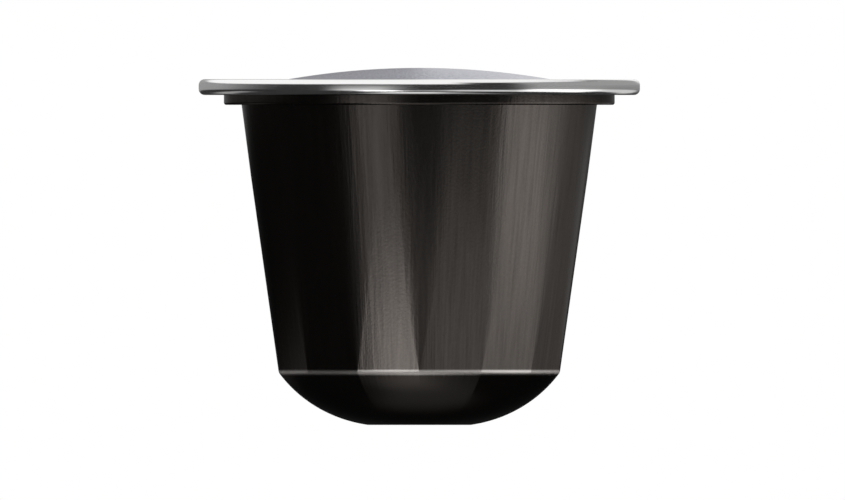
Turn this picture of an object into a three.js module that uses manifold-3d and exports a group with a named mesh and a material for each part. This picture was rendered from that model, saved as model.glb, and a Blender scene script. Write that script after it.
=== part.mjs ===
// A single-serve coffee pod: a drawn aluminium cup, faceted and lacquered black, with a curled bare rim,
// closed by a foil lid that the gas of the coffee swells into a low dome. The cup is full and sealed, so
// it is one solid. Millimetres, +Z up; the pod stands on its flat base, whose centre is the origin.
import * as THREE from "three";
import { ConvexGeometry } from "three/addons/geometries/ConvexGeometry.js";
import { mergeVertices } from "three/addons/utils/BufferGeometryUtils.js";
import Module from "manifold-3d";

// Facets
const facetCount = 14; // flat facets round the wall, with a corner of their ring facing -Y

// Nose: the base and the dome above it
const baseRadius = 4.3; // flat disc that the pod stands on
const creaseHeight = 4.41; // where the wall starts
const creaseRadius = 12.0; // at the corners of the facets' ring
const domeCurve = 11.9; // radius of the dome's section
const creaseBevel = 0.28; // height of the narrow band that breaks the crease's edge

// Wall
const wallLength = 22.5; // from the crease up to the step
const wallTopRadius = 14.94;
const facetLength = 16.4; // from the crease up to each facet's tip

// Step and rim
const stepWidth = 1.49; // how far the sealing step stands out from the wall
const stepDrop = 0.83; // how far it shows under the rim
const stepCorner = 0.2; // radius of its lower edge
const ledgeWidth = 2.12; // from the step out to the rim's edge
const sheet = 0.15; // thickness of the aluminium
const curlWidth = 1.35; // of the rolled edge, from side to side
const curlRise = 0.65; // its height above the flange that the lid is sealed to
const curlFall = 0.68; // its depth under the face of that flange
const curlCorner = 0.5; // radius of the roll's outer corners
const flangeFillet = 0.15; // where the flange turns up into the roll

// Lid
const foil = 0.1; // thickness of the membrane
const sealWidth = 3.15; // flat band that is welded to the flange
const lidRise = 1.5; // height of the dome above that band
const lidClearance = 0.1; // between the foil's edge and the fillet of the roll

// Fineness of the round forms
const stepsPerFacet = 6; // segments of a round section between two corners of the facets
const domeSteps = 7; // rings between the base and the crease
const cornerSteps = 3; // segments in a quarter turn of a small corner
const lidSteps = 6; // rings of the lid's dome
const weldDistance = 1e-5; // vertices closer than this are one

// Levels and radii that follow
const stepHeight = creaseHeight + wallLength;
const curlBottom = stepHeight + stepDrop;
const flangeHeight = curlBottom + curlFall;
const curlTop = flangeHeight + curlRise;
const stepRadius = wallTopRadius + stepWidth;
const rimRadius = stepRadius + ledgeWidth;
const curlInside = rimRadius - curlWidth;
const lidRadius = curlInside - flangeFillet - lidClearance;
const roundSegments = facetCount * stepsPerFacet;
const facetTurn = (2 * Math.PI) / facetCount;
const quarter = Math.PI / 2;
const frontCorner = -quarter; // azimuth of the corner that faces -Y

const blackLacquer = new THREE.MeshStandardMaterial({ color: 0x1c1a18, roughness: 0.38, metalness: 0.85 });
const lidFoil = new THREE.MeshStandardMaterial({ color: 0xabacb8, roughness: 0.45, metalness: 0.9 });

// The wall's radius at a height, along the corners of the facets and over the plain cone above them.
function wallRadius(height) {
  return creaseRadius + ((wallTopRadius - creaseRadius) * (height - creaseHeight)) / wallLength;
}

// A regular polygon's radius at an azimuth, as a share of the radius at its corners.
function polygonShare(azimuth) {
  const fromCorner = (azimuth - frontCorner) % facetTurn;
  return Math.cos(facetTurn / 2) / Math.cos(fromCorner - facetTurn / 2);
}

// Points round the axis at one height; roundness 0 gives the facets' polygon and 1 a circle.
function ring(radius, height, roundness, count = roundSegments) {
  const points = [];
  for (let i = 0; i < count; i++) {
    const azimuth = frontCorner + (2 * Math.PI * i) / count;
    const share = THREE.MathUtils.lerp(polygonShare(azimuth), 1, roundness);
    const r = radius * share;
    points.push(new THREE.Vector3(r * Math.cos(azimuth), r * Math.sin(azimuth), height));
  }
  return points;
}

// An arc of a section, from one angle to another, as radius and height.
function arc(centreRadius, centreHeight, radius, from, to, steps = cornerSteps) {
  const points = [];
  for (let i = 0; i <= steps; i++) {
    const angle = THREE.MathUtils.lerp(from, to, i / steps);
    points.push(new THREE.Vector2(centreRadius + radius * Math.cos(angle), centreHeight + radius * Math.sin(angle)));
  }
  return points;
}

// The dome's section through a corner of the facets: an arc that runs from the base's edge towards the
// crease, and stops at the height asked for.
function domeSection(topHeight) {
  const run = creaseRadius - baseRadius;
  const chord = Math.hypot(run, creaseHeight);
  const back = Math.sqrt(domeCurve ** 2 - (chord / 2) ** 2) / chord;
  const centreRadius = (creaseRadius + baseRadius) / 2 - creaseHeight * back;
  const centreHeight = creaseHeight / 2 + run * back;
  const atBase = Math.asin(-centreHeight / domeCurve);
  const atTop = Math.asin((topHeight - centreHeight) / domeCurve);
  return arc(centreRadius, centreHeight, domeCurve, atBase, atTop, domeSteps);
}

// Wall and nose: the hull of the rings that bound it. The polygon at the crease and the circle at the
// facets' tips give one flat triangle for each facet, with slivers of a cone between them.
function wallAndNose() {
  const bevelTop = creaseHeight + creaseBevel / 2;
  const bevelBottom = creaseHeight - creaseBevel / 2;
  const tipHeight = creaseHeight + facetLength;
  const insideStep = stepHeight + stepDrop;
  const points = [
    ...ring(wallRadius(insideStep), insideStep, 1),
    ...ring(wallRadius(tipHeight), tipHeight, 1),
    ...ring(wallRadius(bevelTop), bevelTop, 0, facetCount),
  ];
  for (const { x: radius, y: height } of domeSection(bevelBottom)) {
    points.push(...ring(radius, height, 1 - height / creaseHeight));
  }
  return new ConvexGeometry(points);
}

// A section turned round the +Z axis, its points running upwards on the outside.
function turned(section) {
  return new THREE.LatheGeometry(section, roundSegments).rotateX(quarter).rotateZ(frontCorner);
}

// Step, flange and rolled edge. The sheet runs out level under the lid, turns up, over and down, and
// comes back in under the flange, so the roll is hollow and open at its foot.
function stepAndRim() {
  const outer = Math.min(curlCorner, (curlRise + curlFall) / 2, curlWidth / 2);
  const inner = curlRise - flangeFillet;
  const edgeInside = curlInside + sheet;
  const flangeUnder = flangeHeight - sheet;
  const section = [
    new THREE.Vector2(0, stepHeight),
    ...arc(stepRadius - stepCorner, stepHeight + stepCorner, stepCorner, -quarter, 0),
    new THREE.Vector2(stepRadius, flangeUnder),
    ...arc(curlInside - flangeFillet, flangeHeight + flangeFillet, flangeFillet + sheet, -quarter, 0),
    ...arc(curlInside + inner, curlTop - inner, inner - sheet, 2 * quarter, quarter),
    ...arc(rimRadius - outer, curlTop - outer, outer - sheet, quarter, 0),
    ...arc(rimRadius - outer, curlBottom + outer, outer - sheet, 0, -quarter),
    new THREE.Vector2(edgeInside, curlBottom + sheet),
    new THREE.Vector2(edgeInside, curlBottom),
    ...arc(rimRadius - outer, curlBottom + outer, outer, -quarter, 0),
    ...arc(rimRadius - outer, curlTop - outer, outer, 0, quarter),
    ...arc(curlInside + inner, curlTop - inner, inner, quarter, 2 * quarter),
    ...arc(curlInside - flangeFillet, flangeHeight + flangeFillet, flangeFillet, 0, -quarter),
    new THREE.Vector2(0, flangeHeight),
  ];
  return turned(section);
}

// The foil: a flat sealing band, and inside it a cap of a sphere, of one thickness throughout.
function lidShell() {
  const capRadius = lidRadius - sealWidth;
  const sphere = (capRadius ** 2 + lidRise ** 2) / (2 * lidRise);
  const cap = [];
  for (let i = 0; i < lidSteps; i++) {
    const r = (capRadius * i) / lidSteps;
    cap.push(new THREE.Vector2(r, flangeHeight + lidRise - sphere + Math.sqrt(sphere ** 2 - r ** 2)));
  }
  const under = [...cap, new THREE.Vector2(capRadius, flangeHeight), new THREE.Vector2(lidRadius, flangeHeight)];
  const over = under.map((point) => new THREE.Vector2(point.x, point.y + foil)).reverse();
  return turned([...under, ...over]);
}

// Booleans: closed geometries to solids and back.
const wasm = await Module();
wasm.setup();

function solid(geometry) {
  const bare = geometry.clone();
  bare.deleteAttribute("normal");
  bare.deleteAttribute("uv");
  const merged = mergeVertices(bare, weldDistance);
  const mesh = new wasm.Mesh({
    numProp: 3,
    vertProperties: merged.attributes.position.array,
    triVerts: new Uint32Array(merged.index.array),
  });
  return new wasm.Manifold(mesh);
}

function geometryOf(body) {
  const mesh = body.getMesh();
  const geometry = new THREE.BufferGeometry();
  geometry.setAttribute("position", new THREE.BufferAttribute(mesh.vertProperties, mesh.numProp));
  geometry.setIndex(new THREE.BufferAttribute(mesh.triVerts, 1));
  geometry.computeVertexNormals();
  return geometry;
}

function named(name, geometry, material) {
  const mesh = new THREE.Mesh(geometry, material);
  mesh.name = name;
  return mesh;
}

const pod = new THREE.Group();
pod.add(named("cup", geometryOf(solid(wallAndNose()).add(solid(stepAndRim()))), blackLacquer));
pod.add(named("lid", lidShell(), lidFoil));

export default pod;
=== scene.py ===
import math

import bmesh
import bpy
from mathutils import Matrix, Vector


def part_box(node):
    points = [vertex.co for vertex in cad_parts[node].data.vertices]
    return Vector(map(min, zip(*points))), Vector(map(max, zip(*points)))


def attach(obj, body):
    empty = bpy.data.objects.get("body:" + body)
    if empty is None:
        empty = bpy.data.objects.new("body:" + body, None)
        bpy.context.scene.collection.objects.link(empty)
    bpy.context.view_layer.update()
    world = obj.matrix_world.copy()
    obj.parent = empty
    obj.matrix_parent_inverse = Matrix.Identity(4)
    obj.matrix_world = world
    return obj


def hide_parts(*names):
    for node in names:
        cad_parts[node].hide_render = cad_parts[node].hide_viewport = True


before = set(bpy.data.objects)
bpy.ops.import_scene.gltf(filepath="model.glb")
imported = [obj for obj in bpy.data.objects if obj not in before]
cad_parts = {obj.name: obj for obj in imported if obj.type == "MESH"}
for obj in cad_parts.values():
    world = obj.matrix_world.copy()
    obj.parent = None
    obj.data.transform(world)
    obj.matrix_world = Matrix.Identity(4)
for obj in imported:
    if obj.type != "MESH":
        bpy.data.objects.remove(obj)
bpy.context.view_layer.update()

# The cup: one sheet of aluminium, drawn deep into a tapered wall with a rounded nose and a sealing step
# under its flange, then pressed so that flat facets run up from the crease. It is lacquered black outside,
# and full of coffee, so it is modelled closed.
cup_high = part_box("cup")[1]
lid_low, lid_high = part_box("lid")
rim_radius = cup_high.x
rim_top = cup_high.z
flange_height = lid_low.z
facet_count = 14
corner_columns = 16
flat_columns = 10
facet_turn = 2 * math.pi / facet_count
front = -math.pi / 2
base_radius = 0.0043
crease_height = 0.00441
crease_radius = 0.0120
crease_round = 0.00014
corner_share = 0.012
flat_crown = 0.00012
dome_curve = 0.0119
dome_rows = 28
wall_top_radius = 0.01494
facet_length = 0.0164
step_height = 0.02691
step_radius = 0.01643
step_corner = 0.0002
corner_steps = 6
hard_edge = 30
facet_edge = 3
weld_gap = 1e-6
sheet = 0.00015
rim_width = 0.00135
rim_inside = rim_radius - rim_width
skin_height = flange_height - sheet / 2


def line_to(mesh, vert, radius, height):
    """Carries a section on in a straight line. A section is drawn in the plane that faces -Y."""
    made = bmesh.ops.extrude_vert_indiv(mesh, verts=[vert])
    made["verts"][0].co = (0, -radius, height)
    return made["verts"][0]


def arc_to(mesh, vert, centre_radius, centre_height, turn, steps):
    """Carries a section on round a centre; a negative turn bends it up and out."""
    centre = (0, -centre_radius, centre_height)
    made = bmesh.ops.spin(mesh, geom=[vert], cent=centre, axis=(1, 0, 0), angle=turn, steps=steps)
    return next(part for part in made["geom_last"] if isinstance(part, bmesh.types.BMVert))


def round_off(mesh, corners, offset, segments):
    """Rounds corners of a section before it is turned."""
    bmesh.ops.bevel(
        mesh, geom=corners, affect="VERTICES", offset=offset, segments=segments, profile=0.5, material=-1
    )


def turn_round(mesh, steps):
    """Spins a section once round the Z axis, joins its seam and points its faces outwards."""
    section = mesh.verts[:] + mesh.edges[:]
    whole = 2 * math.pi
    bmesh.ops.spin(
        mesh, geom=section, cent=(0, 0, 0), axis=(0, 0, 1), angle=whole, steps=steps, use_merge=True
    )
    bmesh.ops.remove_doubles(mesh, verts=mesh.verts, dist=weld_gap)
    bmesh.ops.recalc_face_normals(mesh, faces=mesh.faces)


def finish_piece(mesh, name, sharp_angle, sharp_upright=None):
    """Makes the object from its bmesh, smooth but for the edges that turn more than the angle. Edges that
    run up the piece can have an angle of their own."""
    for face in mesh.faces:
        face.smooth = True
    for edge in mesh.edges:
        rise = abs(edge.verts[0].co.z - edge.verts[1].co.z)
        limit = sharp_angle
        if sharp_upright and rise > edge.calc_length() / 2:
            limit = sharp_upright
        edge.smooth = edge.calc_face_angle(0) < math.radians(limit)
    data = bpy.data.meshes.new(name)
    mesh.to_mesh(data)
    mesh.free()
    piece = bpy.data.objects.new(name, data)
    bpy.context.scene.collection.objects.link(piece)
    return piece


def corner_point(corner, radius, share, side):
    """A point of the narrow triangle that stands on a corner of the facets' ring. Its side runs from -1
    to 1 across the triangle, and its share is the triangle's width, with 1 at the facets' tips."""
    turned = corner + side * facet_turn / 2
    outward = Vector((math.cos(corner), math.sin(corner)))
    on_circle = Vector((math.cos(turned), math.sin(turned))) * radius
    rise = on_circle.dot(outward) - radius * math.cos(facet_turn / 2)
    flattened = on_circle - outward * rise * (1 - share**2)
    return (outward * radius).lerp(flattened, share)


def press_facets(mesh):
    """Moves the round rings on to the facets. Each ring's columns are shared out between the narrow
    triangles on the corners and the flats between them, which are crowned a little."""
    columns = corner_columns + flat_columns
    for vert in mesh.verts:
        radius = vert.co.xy.length
        if radius < base_radius / 2:
            continue
        above = (vert.co.z - crease_height) / facet_length
        below = max(0, (crease_height - vert.co.z) / crease_height)
        share = min(max(above, corner_share), 1)
        column = (math.atan2(vert.co.y, vert.co.x) - front) / facet_turn * columns
        facet, place = divmod(round(column), columns)
        corner = front + facet * facet_turn
        next_corner = corner + facet_turn
        half = corner_columns / 2
        if place <= half:
            point = corner_point(corner, radius, share, place / half)
        elif place >= half + flat_columns:
            point = corner_point(next_corner, radius, share, (place - columns) / half)
        else:
            along = (place - half) / flat_columns
            start = corner_point(corner, radius, share, 1)
            end = corner_point(next_corner, radius, share, -1)
            crown = 4 * along * (1 - along) * flat_crown * (1 - share)
            middle = corner + facet_turn / 2
            point = start.lerp(end, along) + Vector((math.cos(middle), math.sin(middle))) * crown
        vert.co.xy = point.lerp(point.normalized() * radius, below)
    bmesh.ops.remove_doubles(mesh, verts=mesh.verts, dist=weld_gap)


def dome_arc():
    """The centre of the nose's section, and the turn from the base's edge up to the crease."""
    run = crease_radius - base_radius
    chord = math.hypot(run, crease_height)
    back = math.sqrt(dome_curve**2 - (chord / 2) ** 2) / chord
    centre_radius = (crease_radius + base_radius) / 2 - crease_height * back
    centre_height = crease_height / 2 + run * back
    return centre_radius, centre_height, -2 * math.asin(chord / 2 / dome_curve)


def make_cup():
    mesh = bmesh.new()
    axis_foot = mesh.verts.new((0, 0, 0))
    base_edge = line_to(mesh, axis_foot, base_radius, 0)
    crease = arc_to(mesh, base_edge, *dome_arc(), dome_rows)
    slope = (wall_top_radius - crease_radius) / (step_height - crease_height)
    tip_radius = crease_radius + slope * facet_length
    tips = line_to(mesh, crease, tip_radius, crease_height + facet_length)
    wall_top = line_to(mesh, tips, wall_top_radius, step_height)
    step_edge = line_to(mesh, wall_top, step_radius, step_height)
    step_top = line_to(mesh, step_edge, step_radius, flange_height - sheet)
    flange_edge = line_to(mesh, step_top, rim_inside, flange_height - sheet)
    skin_edge = line_to(mesh, flange_edge, rim_inside, skin_height)
    line_to(mesh, skin_edge, 0, skin_height)
    round_off(mesh, [crease], crease_round, corner_steps)
    round_off(mesh, [step_edge], step_corner, corner_steps)
    turn_round(mesh, facet_count * (corner_columns + flat_columns))
    press_facets(mesh)
    return finish_piece(mesh, "cup_shell", hard_edge, sharp_upright=facet_edge)


def add_node(tree, kind, inputs=None, **settings):
    """One shader node, its inputs given as values or as the sockets they are linked from."""
    made = tree.nodes.new(kind)
    for name, value in settings.items():
        setattr(made, name, value)
    for name, value in (inputs or {}).items():
        socket = made.inputs[name]
        if kind == "ShaderNodeMix" and isinstance(name, str):
            socket = next(each for each in made.inputs if each.enabled and each.name == name)
        if isinstance(value, bpy.types.NodeSocket):
            tree.links.new(value, socket)
        else:
            socket.default_value = value
    return made


def new_material(name):
    """A material with an empty node tree."""
    material = bpy.data.materials.new(name)
    material.use_nodes = True
    material.node_tree.nodes.clear()
    return material


def show_surface(material, shader):
    """Links a shader to the output of its material."""
    output = add_node(material.node_tree, "ShaderNodeOutputMaterial")
    material.node_tree.links.new(shader.outputs[0], output.inputs["Surface"])


def make_sheet_marks():
    """Marks of the metal under its finish. Lines is a height that runs round or up the piece, by how fast
    it changes each way, and Grain is an even fine height. Going up counts a part of the radius too, so
    that the marks don't stop on level faces."""
    radius_part = 0.5
    group = bpy.data.node_groups.new("sheet_marks", "ShaderNodeTree")
    for name in ("Around", "Upright", "Grain Scale"):
        group.interface.new_socket(name, in_out="INPUT", socket_type="NodeSocketFloat")
    for name in ("Lines", "Grain"):
        group.interface.new_socket(name, in_out="OUTPUT", socket_type="NodeSocketFloat")
    given = add_node(group, "NodeGroupInput")
    place = add_node(group, "ShaderNodeTexCoord").outputs["Object"]
    level = add_node(group, "ShaderNodeVectorMath", {0: place, 1: (1, 1, 0)}, operation="MULTIPLY")
    radius = add_node(group, "ShaderNodeVectorMath", {0: level.outputs[0]}, operation="LENGTH")
    outward = add_node(group, "ShaderNodeVectorMath", {0: level.outputs[0]}, operation="NORMALIZE")
    spread = add_node(
        group,
        "ShaderNodeVectorMath",
        {0: outward.outputs[0], "Scale": given.outputs["Around"]},
        operation="SCALE",
    )
    height = add_node(group, "ShaderNodeSeparateXYZ", {"Vector": place}).outputs["Z"]
    climb = add_node(
        group,
        "ShaderNodeMath",
        {0: radius.outputs["Value"], 1: radius_part, 2: height},
        operation="MULTIPLY_ADD",
    )
    climb = add_node(
        group, "ShaderNodeMath", {0: climb.outputs[0], 1: given.outputs["Upright"]}, operation="MULTIPLY"
    )
    lift = add_node(group, "ShaderNodeCombineXYZ", {"Z": climb.outputs[0]})
    drawn = add_node(
        group, "ShaderNodeVectorMath", {0: spread.outputs[0], 1: lift.outputs[0]}, operation="ADD"
    )
    lines = add_node(
        group,
        "ShaderNodeTexNoise",
        {"Vector": drawn.outputs[0], "Scale": 1.0, "Detail": 3.0, "Roughness": 0.55, "Distortion": 0.25},
    )
    grain = add_node(
        group,
        "ShaderNodeTexNoise",
        {"Vector": place, "Scale": given.outputs["Grain Scale"], "Detail": 2.0, "Roughness": 0.6},
    )
    add_node(group, "NodeGroupOutput", {"Lines": lines.outputs["Fac"], "Grain": grain.outputs["Fac"]})
    return group


def place_marks(tree, around, upright, grain_scale):
    marks = tree.nodes.new("ShaderNodeGroup")
    marks.node_tree = sheet_marks
    marks.inputs["Around"].default_value = around
    marks.inputs["Upright"].default_value = upright
    marks.inputs["Grain Scale"].default_value = grain_scale
    return marks


coat_dark = (0.060, 0.0534, 0.0487, 1)
coat_light = (0.090, 0.0801, 0.0731, 1)
coat_rough = 0.21
# A pale metal colour and a higher roughness in a narrow band round the crease: a painted highlight line.
crease_highlight_colour = (0.80, 0.757, 0.722, 1)
crease_highlight_rough = 0.45
crease_highlight_reach = 0.00030
crease_highlight_core = 0.00003
coat_grain = 0.45
streak_low = 0.45
mark_depth = 0.000013
dome_marks = 0.3
dome_blend = 0.0006


def make_black_lacquer():
    """Metallic black over the draw marks, which are faint on the nose, with a pale rougher band painted
    round the crease as a highlight line.
    """
    material = new_material("black_lacquer")
    tree = material.node_tree
    marks = place_marks(tree, around=42, upright=130, grain_scale=5200)
    relief = add_node(
        tree,
        "ShaderNodeMath",
        {0: marks.outputs["Grain"], 1: coat_grain, 2: marks.outputs["Lines"]},
        operation="MULTIPLY_ADD",
    )
    place = add_node(tree, "ShaderNodeTexCoord").outputs["Object"]
    height = add_node(tree, "ShaderNodeSeparateXYZ", {"Vector": place}).outputs["Z"]
    above_nose = add_node(
        tree,
        "ShaderNodeMapRange",
        {
            "Value": height,
            "From Min": crease_height - dome_blend,
            "From Max": crease_height,
            "To Min": dome_marks,
        },
    )
    depth = add_node(
        tree, "ShaderNodeMath", {0: relief.outputs[0], 1: above_nose.outputs[0]}, operation="MULTIPLY"
    )
    bump = add_node(
        tree, "ShaderNodeBump", {"Height": depth.outputs[0], "Strength": 1.0, "Distance": mark_depth}
    )
    # The lacquer turns pale in a narrow band round the crease: a painted highlight.
    off_crease = add_node(tree, "ShaderNodeMath", {0: height, 1: crease_height}, operation="SUBTRACT")
    off_crease = add_node(tree, "ShaderNodeMath", {0: off_crease.outputs[0]}, operation="ABSOLUTE")
    crease_highlight_band = add_node(
        tree,
        "ShaderNodeMapRange",
        {"Value": off_crease.outputs[0], "From Min": crease_highlight_reach, "From Max": crease_highlight_core},
        interpolation_type="SMOOTHSTEP",
    )
    streaks = add_node(
        tree,
        "ShaderNodeMapRange",
        {"Value": depth.outputs[0], "From Min": streak_low, "From Max": 1.0},
    )
    coat = add_node(
        tree,
        "ShaderNodeMix",
        {"Factor": streaks.outputs[0], "A": coat_dark, "B": coat_light},
        data_type="RGBA",
    )
    colour = add_node(
        tree,
        "ShaderNodeMix",
        {"Factor": crease_highlight_band.outputs[0], "A": coat.outputs[2], "B": crease_highlight_colour},
        data_type="RGBA",
    )
    rough = add_node(
        tree,
        "ShaderNodeMapRange",
        {"Value": crease_highlight_band.outputs[0], "To Min": coat_rough, "To Max": crease_highlight_rough},
    )
    lacquer = add_node(
        tree,
        "ShaderNodeBsdfPrincipled",
        {
            "Base Color": colour.outputs[2],
            "Metallic": 1.0,
            "Roughness": rough.outputs[0],
            "Specular Tint": (0.5, 0.5, 0.5, 1),
            "Normal": bump.outputs[0],
        },
    )
    show_surface(material, lacquer)
    return material


sheet_marks = make_sheet_marks()
cup = make_cup()
cup.data.materials.append(make_black_lacquer())
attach(cup, "root")
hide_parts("cup")

# The rim: the edge of the cup's own sheet, which runs out level as the flange and is rolled outwards,
# down and back in. The roll turns the bare inside of the sheet out, so it shines.
rim_rise = rim_top - flange_height
rim_fall = 0.00068
rim_corner = 0.0005
flange_fillet = 0.00015
flange_inner_edge = 0.0135
roll_steps = 10
inner_steps = 4
rim_columns = 288
roll_edge = 40
bright_metal = (0.9, 0.895, 0.89, 1)
roll_grain = 0.3
roll_mark_depth = 0.0000015


def make_rim():
    mesh = bmesh.new()
    bottom = flange_height - rim_fall
    start = mesh.verts.new((0, -flange_inner_edge, skin_height))
    under = line_to(mesh, start, rim_inside, skin_height)
    inner_turn = line_to(mesh, under, rim_inside + sheet, flange_height - sheet)
    inner_top = line_to(mesh, inner_turn, rim_inside + sheet, rim_top - sheet)
    outer_top = line_to(mesh, inner_top, rim_radius - sheet, rim_top - sheet)
    outer_foot = line_to(mesh, outer_top, rim_radius - sheet, bottom + sheet)
    cut_over = line_to(mesh, outer_foot, rim_inside + sheet, bottom + sheet)
    cut_under = line_to(mesh, cut_over, rim_inside + sheet, bottom)
    foot = line_to(mesh, cut_under, rim_radius, bottom)
    shoulder = line_to(mesh, foot, rim_radius, rim_top)
    lip = line_to(mesh, shoulder, rim_inside, rim_top)
    fillet = line_to(mesh, lip, rim_inside, flange_height)
    flange_edge = line_to(mesh, fillet, flange_inner_edge, flange_height)
    mesh.edges.new((flange_edge, start))
    round_off(mesh, [foot, shoulder], rim_corner, roll_steps)
    round_off(mesh, [lip], rim_rise - flange_fillet, roll_steps)
    round_off(mesh, [fillet], flange_fillet, inner_steps)
    round_off(mesh, [inner_top, outer_top, outer_foot], rim_corner - sheet, inner_steps)
    turn_round(mesh, rim_columns)
    return finish_piece(mesh, "rim_roll", roll_edge)


def make_bare_aluminium():
    material = new_material("bare_aluminium")
    tree = material.node_tree
    marks = place_marks(tree, around=2.5, upright=16000, grain_scale=9000)
    relief = add_node(
        tree,
        "ShaderNodeMath",
        {0: marks.outputs["Grain"], 1: roll_grain, 2: marks.outputs["Lines"]},
        operation="MULTIPLY_ADD",
    )
    bump = add_node(
        tree,
        "ShaderNodeBump",
        {"Height": relief.outputs[0], "Strength": 1.0, "Distance": roll_mark_depth},
    )
    metal = add_node(
        tree,
        "ShaderNodeBsdfPrincipled",
        {
            "Base Color": bright_metal,
            "Metallic": 1.0,
            "Roughness": 0.17,
            "Normal": bump.outputs[0],
        },
    )
    show_surface(material, metal)
    return material


rim = make_rim()
rim.data.materials.append(make_bare_aluminium())
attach(rim, "root")
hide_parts("cup")

# The lid: a membrane of aluminium foil, welded with heat to the flange inside the roll and swollen into
# a low dome by the gas that the coffee gives off.
lid_radius = lid_high.x
seal_width = 0.00315
foil = 0.0001
lid_rise = lid_high.z - flange_height - foil
lid_rows = 24
lid_columns = 192
foil_dark = (0.33, 0.33, 0.40, 1)
foil_light = (0.53, 0.535, 0.63, 1)
foil_smooth = 0.18
foil_rough = 0.30
foil_depth = 0.000015
rolling = (1, 0.5, 1)
patch_part = 0.4


def make_lid():
    mesh = bmesh.new()
    cap_radius = lid_radius - seal_width
    sphere = (cap_radius**2 + lid_rise**2) / (2 * lid_rise)
    cap_turn = math.asin(cap_radius / sphere)
    centre = flange_height + lid_rise - sphere
    under_top = mesh.verts.new((0, 0, flange_height + lid_rise))
    under_foot = arc_to(mesh, under_top, 0, centre, cap_turn, lid_rows)
    under_edge = line_to(mesh, under_foot, lid_radius, flange_height)
    over_edge = line_to(mesh, under_edge, lid_radius, flange_height + foil)
    over_foot = line_to(mesh, over_edge, cap_radius, flange_height + foil)
    arc_to(mesh, over_foot, 0, centre + foil, -cap_turn, lid_rows)
    turn_round(mesh, lid_columns)
    return finish_piece(mesh, "lid_foil", hard_edge)


def make_lid_foil():
    """Bluish foil with a fine speckle in broad patches, both drawn out the way that it was rolled."""
    material = new_material("lid_foil")
    tree = material.node_tree
    place = add_node(tree, "ShaderNodeTexCoord").outputs["Object"]
    rolled = add_node(tree, "ShaderNodeVectorMath", {0: place, 1: rolling}, operation="MULTIPLY")
    speckle = add_node(
        tree,
        "ShaderNodeTexNoise",
        {"Vector": rolled.outputs[0], "Scale": 4200.0, "Detail": 2.0, "Roughness": 0.6},
    )
    patches = add_node(
        tree,
        "ShaderNodeTexNoise",
        {"Vector": rolled.outputs[0], "Scale": 160.0, "Detail": 2.0, "Roughness": 0.5},
    )
    both = add_node(
        tree,
        "ShaderNodeMath",
        {0: patches.outputs["Fac"], 1: patch_part, 2: speckle.outputs["Fac"]},
        operation="MULTIPLY_ADD",
    )
    tone = add_node(
        tree, "ShaderNodeMapRange", {"Value": both.outputs[0], "From Min": 0.45, "From Max": 0.95}
    )
    colour = add_node(
        tree,
        "ShaderNodeMix",
        {"Factor": tone.outputs[0], "A": foil_dark, "B": foil_light},
        data_type="RGBA",
    )
    bump = add_node(
        tree, "ShaderNodeBump", {"Height": both.outputs[0], "Strength": 1.0, "Distance": foil_depth}
    )
    rough = add_node(
        tree,
        "ShaderNodeMapRange",
        {"Value": patches.outputs["Fac"], "To Min": foil_smooth, "To Max": foil_rough},
    )
    metal = add_node(
        tree,
        "ShaderNodeBsdfPrincipled",
        {
            "Base Color": colour.outputs[2],
            "Metallic": 1.0,
            "Roughness": rough.outputs[0],
            "Normal": bump.outputs[0],
        },
    )
    show_surface(material, metal)
    return material


lid = make_lid()
lid.data.materials.append(make_lid_foil())
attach(lid, "root")
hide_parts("lid")

# The photograph's view: square on to the side, from so far off that there is no perspective.
view_width = 0.07104
view_centre = (0.000269, 0.01471)
view_distance = 0.6
camera_data = bpy.data.cameras.new("camera")
camera_data.type = "ORTHO"
camera_data.ortho_scale = view_width
camera = bpy.data.objects.new("camera", camera_data)
camera.location = (view_centre[0], -view_distance, view_centre[1])
camera.rotation_euler = (math.pi / 2, 0, 0)
bpy.context.scene.collection.objects.link(camera)
bpy.context.scene.camera = camera

# The studio: a plain pale floor under an even soft light, a white surround, and a small light tent that
# only shows in the metal. It is dark cloth with glowing panels, open above, where the metal shows the
# surround. Its floor is dimmer under and behind the pod than in front of it: painted shade that stands in
# for the pod's shadow on the floor.
floor_size = 1.2
floor_paper = (0.8, 0.8, 0.8, 1)
surround_white = 1.0
surround_light = 0.5
softbox_size = 0.5
softbox_height = 0.6
softbox_level = 1.0
tent_radius = 0.10
tent_low = -0.11
tent_high = 0.16
tent_cloth_and_shade = 0.03
tent_sides = 120


def make_floor():
    mesh = bmesh.new()
    bmesh.ops.create_grid(mesh, x_segments=1, y_segments=1, size=floor_size)
    floor = finish_piece(mesh, "floor", hard_edge)
    material = new_material("floor_paper")
    paper = add_node(material.node_tree, "ShaderNodeBsdfDiffuse", {"Color": floor_paper})
    show_surface(material, paper)
    floor.data.materials.append(material)
    floor.visible_glossy = False
    floor.visible_shadow = False


def light_world():
    """A surround that looks white, and lights the object more softly than it looks."""
    world = bpy.data.worlds.new("surround")
    world.use_nodes = True
    bpy.context.scene.world = world
    tree = world.node_tree
    tree.nodes.clear()
    path = add_node(tree, "ShaderNodeLightPath")
    seen = add_node(
        tree,
        "ShaderNodeMath",
        {0: path.outputs["Is Camera Ray"], 1: path.outputs["Is Glossy Ray"]},
        operation="MAXIMUM",
    )
    seen = add_node(
        tree,
        "ShaderNodeMath",
        {0: seen.outputs[0], 1: path.outputs["Is Transmission Ray"]},
        operation="MAXIMUM",
    )
    level = add_node(
        tree,
        "ShaderNodeMapRange",
        {"Value": seen.outputs[0], "To Min": surround_light, "To Max": surround_white},
    )
    white = add_node(tree, "ShaderNodeBackground", {"Color": (1, 1, 1, 1), "Strength": level.outputs[0]})
    output = add_node(tree, "ShaderNodeOutputWorld")
    tree.links.new(white.outputs[0], output.inputs["Surface"])


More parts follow.
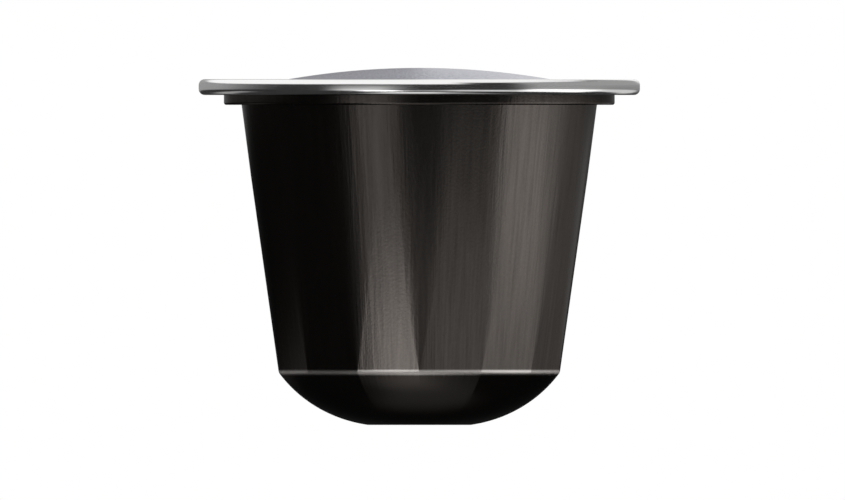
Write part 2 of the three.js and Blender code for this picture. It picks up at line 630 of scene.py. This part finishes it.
def soft_window(tree, value, low, high, edge):
    """1 between two limits and 0 outside them, with a soft edge of that half width."""
    rising = add_node(
        tree,
        "ShaderNodeMapRange",
        {"Value": value, "From Min": low - edge, "From Max": low + edge},
        interpolation_type="SMOOTHSTEP",
    )
    falling = add_node(
        tree,
        "ShaderNodeMapRange",
        {"Value": value, "From Min": high + edge, "From Max": high - edge},
        interpolation_type="SMOOTHSTEP",
    )
    both = add_node(
        tree, "ShaderNodeMath", {0: rising.outputs[0], 1: falling.outputs[0]}, operation="MULTIPLY"
    )
    return both.outputs[0]


def add_panels(tree, across, along, panels):
    """The light of a side of the tent: dark cloth, and panels between two limits each way."""
    light = add_node(tree, "ShaderNodeValue").outputs[0]
    light.default_value = tent_cloth_and_shade
    for left, right, blend, low, high, fade, level in panels:
        wide = soft_window(tree, across, left, right, blend)
        tall = soft_window(tree, along, low, high, fade)
        shape = add_node(tree, "ShaderNodeMath", {0: wide, 1: tall}, operation="MULTIPLY")
        total = add_node(
            tree, "ShaderNodeMath", {0: shape.outputs[0], 1: level, 2: light}, operation="MULTIPLY_ADD"
        )
        light = total.outputs[0]
    return light


def hang_tent(tent, light, tree, material):
    """Makes the tent glow, seen by nothing but the metal."""
    glow = add_node(tree, "ShaderNodeEmission", {"Strength": light})
    show_surface(material, glow)
    material.cycles.emission_sampling = "NONE"
    tent.data.materials.append(material)
    tent.visible_camera = False
    tent.visible_diffuse = False
    tent.visible_shadow = False
    tent.visible_transmission = False


def make_tent_wall():
    mesh = bmesh.new()
    foot = mesh.verts.new((0, -tent_radius, tent_low))
    line_to(mesh, foot, tent_radius, tent_high)
    turn_round(mesh, tent_sides)
    tent = finish_piece(mesh, "tent_wall", hard_edge)
    material = new_material("tent_wall")
    tree = material.node_tree
    place = add_node(tree, "ShaderNodeTexCoord")
    parts = add_node(tree, "ShaderNodeSeparateXYZ", {"Vector": place.outputs["Object"]})
    away = add_node(tree, "ShaderNodeMath", {0: parts.outputs["Y"], 1: -1}, operation="MULTIPLY")
    angle = add_node(
        tree, "ShaderNodeMath", {0: parts.outputs["X"], 1: away.outputs[0]}, operation="ARCTAN2"
    )
    bearing = add_node(tree, "ShaderNodeMath", {0: angle.outputs[0]}, operation="DEGREES")
    light = add_panels(tree, bearing.outputs[0], parts.outputs["Z"], wall_panels)
    hang_tent(tent, light, tree, material)


def make_tent_floor():
    mesh = bmesh.new()
    bmesh.ops.create_circle(mesh, cap_ends=True, segments=tent_sides, radius=tent_radius)
    bmesh.ops.translate(mesh, verts=mesh.verts, vec=(0, 0, tent_low))
    tent = finish_piece(mesh, "tent_floor", hard_edge)
    material = new_material("tent_floor")
    tree = material.node_tree
    place = add_node(tree, "ShaderNodeTexCoord")
    parts = add_node(tree, "ShaderNodeSeparateXYZ", {"Vector": place.outputs["Object"]})
    # Dark cloth, with panels that are dim under and behind the pod and bright in front of it: painted shade
    # for the pod's shadow on the floor, seen only in the metal.
    light = add_panels(tree, parts.outputs["X"], parts.outputs["Y"], floor_panels)
    hang_tent(tent, light, tree, material)


def light_overhead():
    """One wide softbox over the floor."""
    data = bpy.data.lights.new("overhead_softbox", "AREA")
    data.size = softbox_size
    data.energy = softbox_level * math.pi * softbox_size**2
    lamp = bpy.data.objects.new("overhead_softbox", data)
    lamp.location = (0, 0, softbox_height)
    lamp.visible_camera = False
    lamp.visible_glossy = False
    bpy.context.scene.collection.objects.link(lamp)


# Each panel of the tent's wall: its left and right bearing in degrees and their blend, its low and high
# edge and their fade, and its light. Bearing 0 faces the camera, and they run on past half a turn.
wall_panels = (
    (-41, -16, 8, -0.013, 0.027, 0.016, 0.72),
    (-31, -11, 4, -0.044, -0.016, 0.008, 2.70),
    (-22, -6, 6, 0.014, 0.034, 0.008, 0.16),
    (-20, 14, 4, -0.045, -0.006, 0.014, 0.33),
    (14, 54, 4, -0.045, -0.010, 0.016, 0.42),
    (15, 50, 5, -0.045, 0.004, 0.014, 0.38),
    (55, 104, 5, -0.052, 0.018, 0.010, 1.16),
    (50, 90, 5, -0.010, 0.014, 0.008, 0.55),
    (104, 152, 6, -0.018, 0.020, 0.006, 0.60),
    (52, 172, 10, 0.024, 0.105, 0.012, 0.30),
    (-150, -104, 8, -0.034, -0.010, 0.006, 0.30),
    (-210, -96, 30, 0.0215, 0.050, 0.0035, 0.28),
    (-210, -162, 6, 0.050, 0.200, 0.006, 0.42),
    (-162, 22, 6, 0.054, 0.200, 0.006, 1.00),
    (22, 158, 10, 0.115, 0.200, 0.012, 0.85),
    (158, 210, 6, 0.034, 0.200, 0.006, 0.70),
)
# Each panel of its floor: its left and right edge and their blend, its near and far edge and their fade,
# and its light.
floor_panels = (
    (-0.040, 0.020, 0.012, -0.120, -0.010, 0.020, 0.55),
    (-0.030, 0.045, 0.015, -0.120, 0.060, 0.035, 0.22),
)

make_floor()
light_world()
make_tent_wall()
make_tent_floor()
light_overhead()

bpy.context.scene.view_settings.view_transform = "Standard"
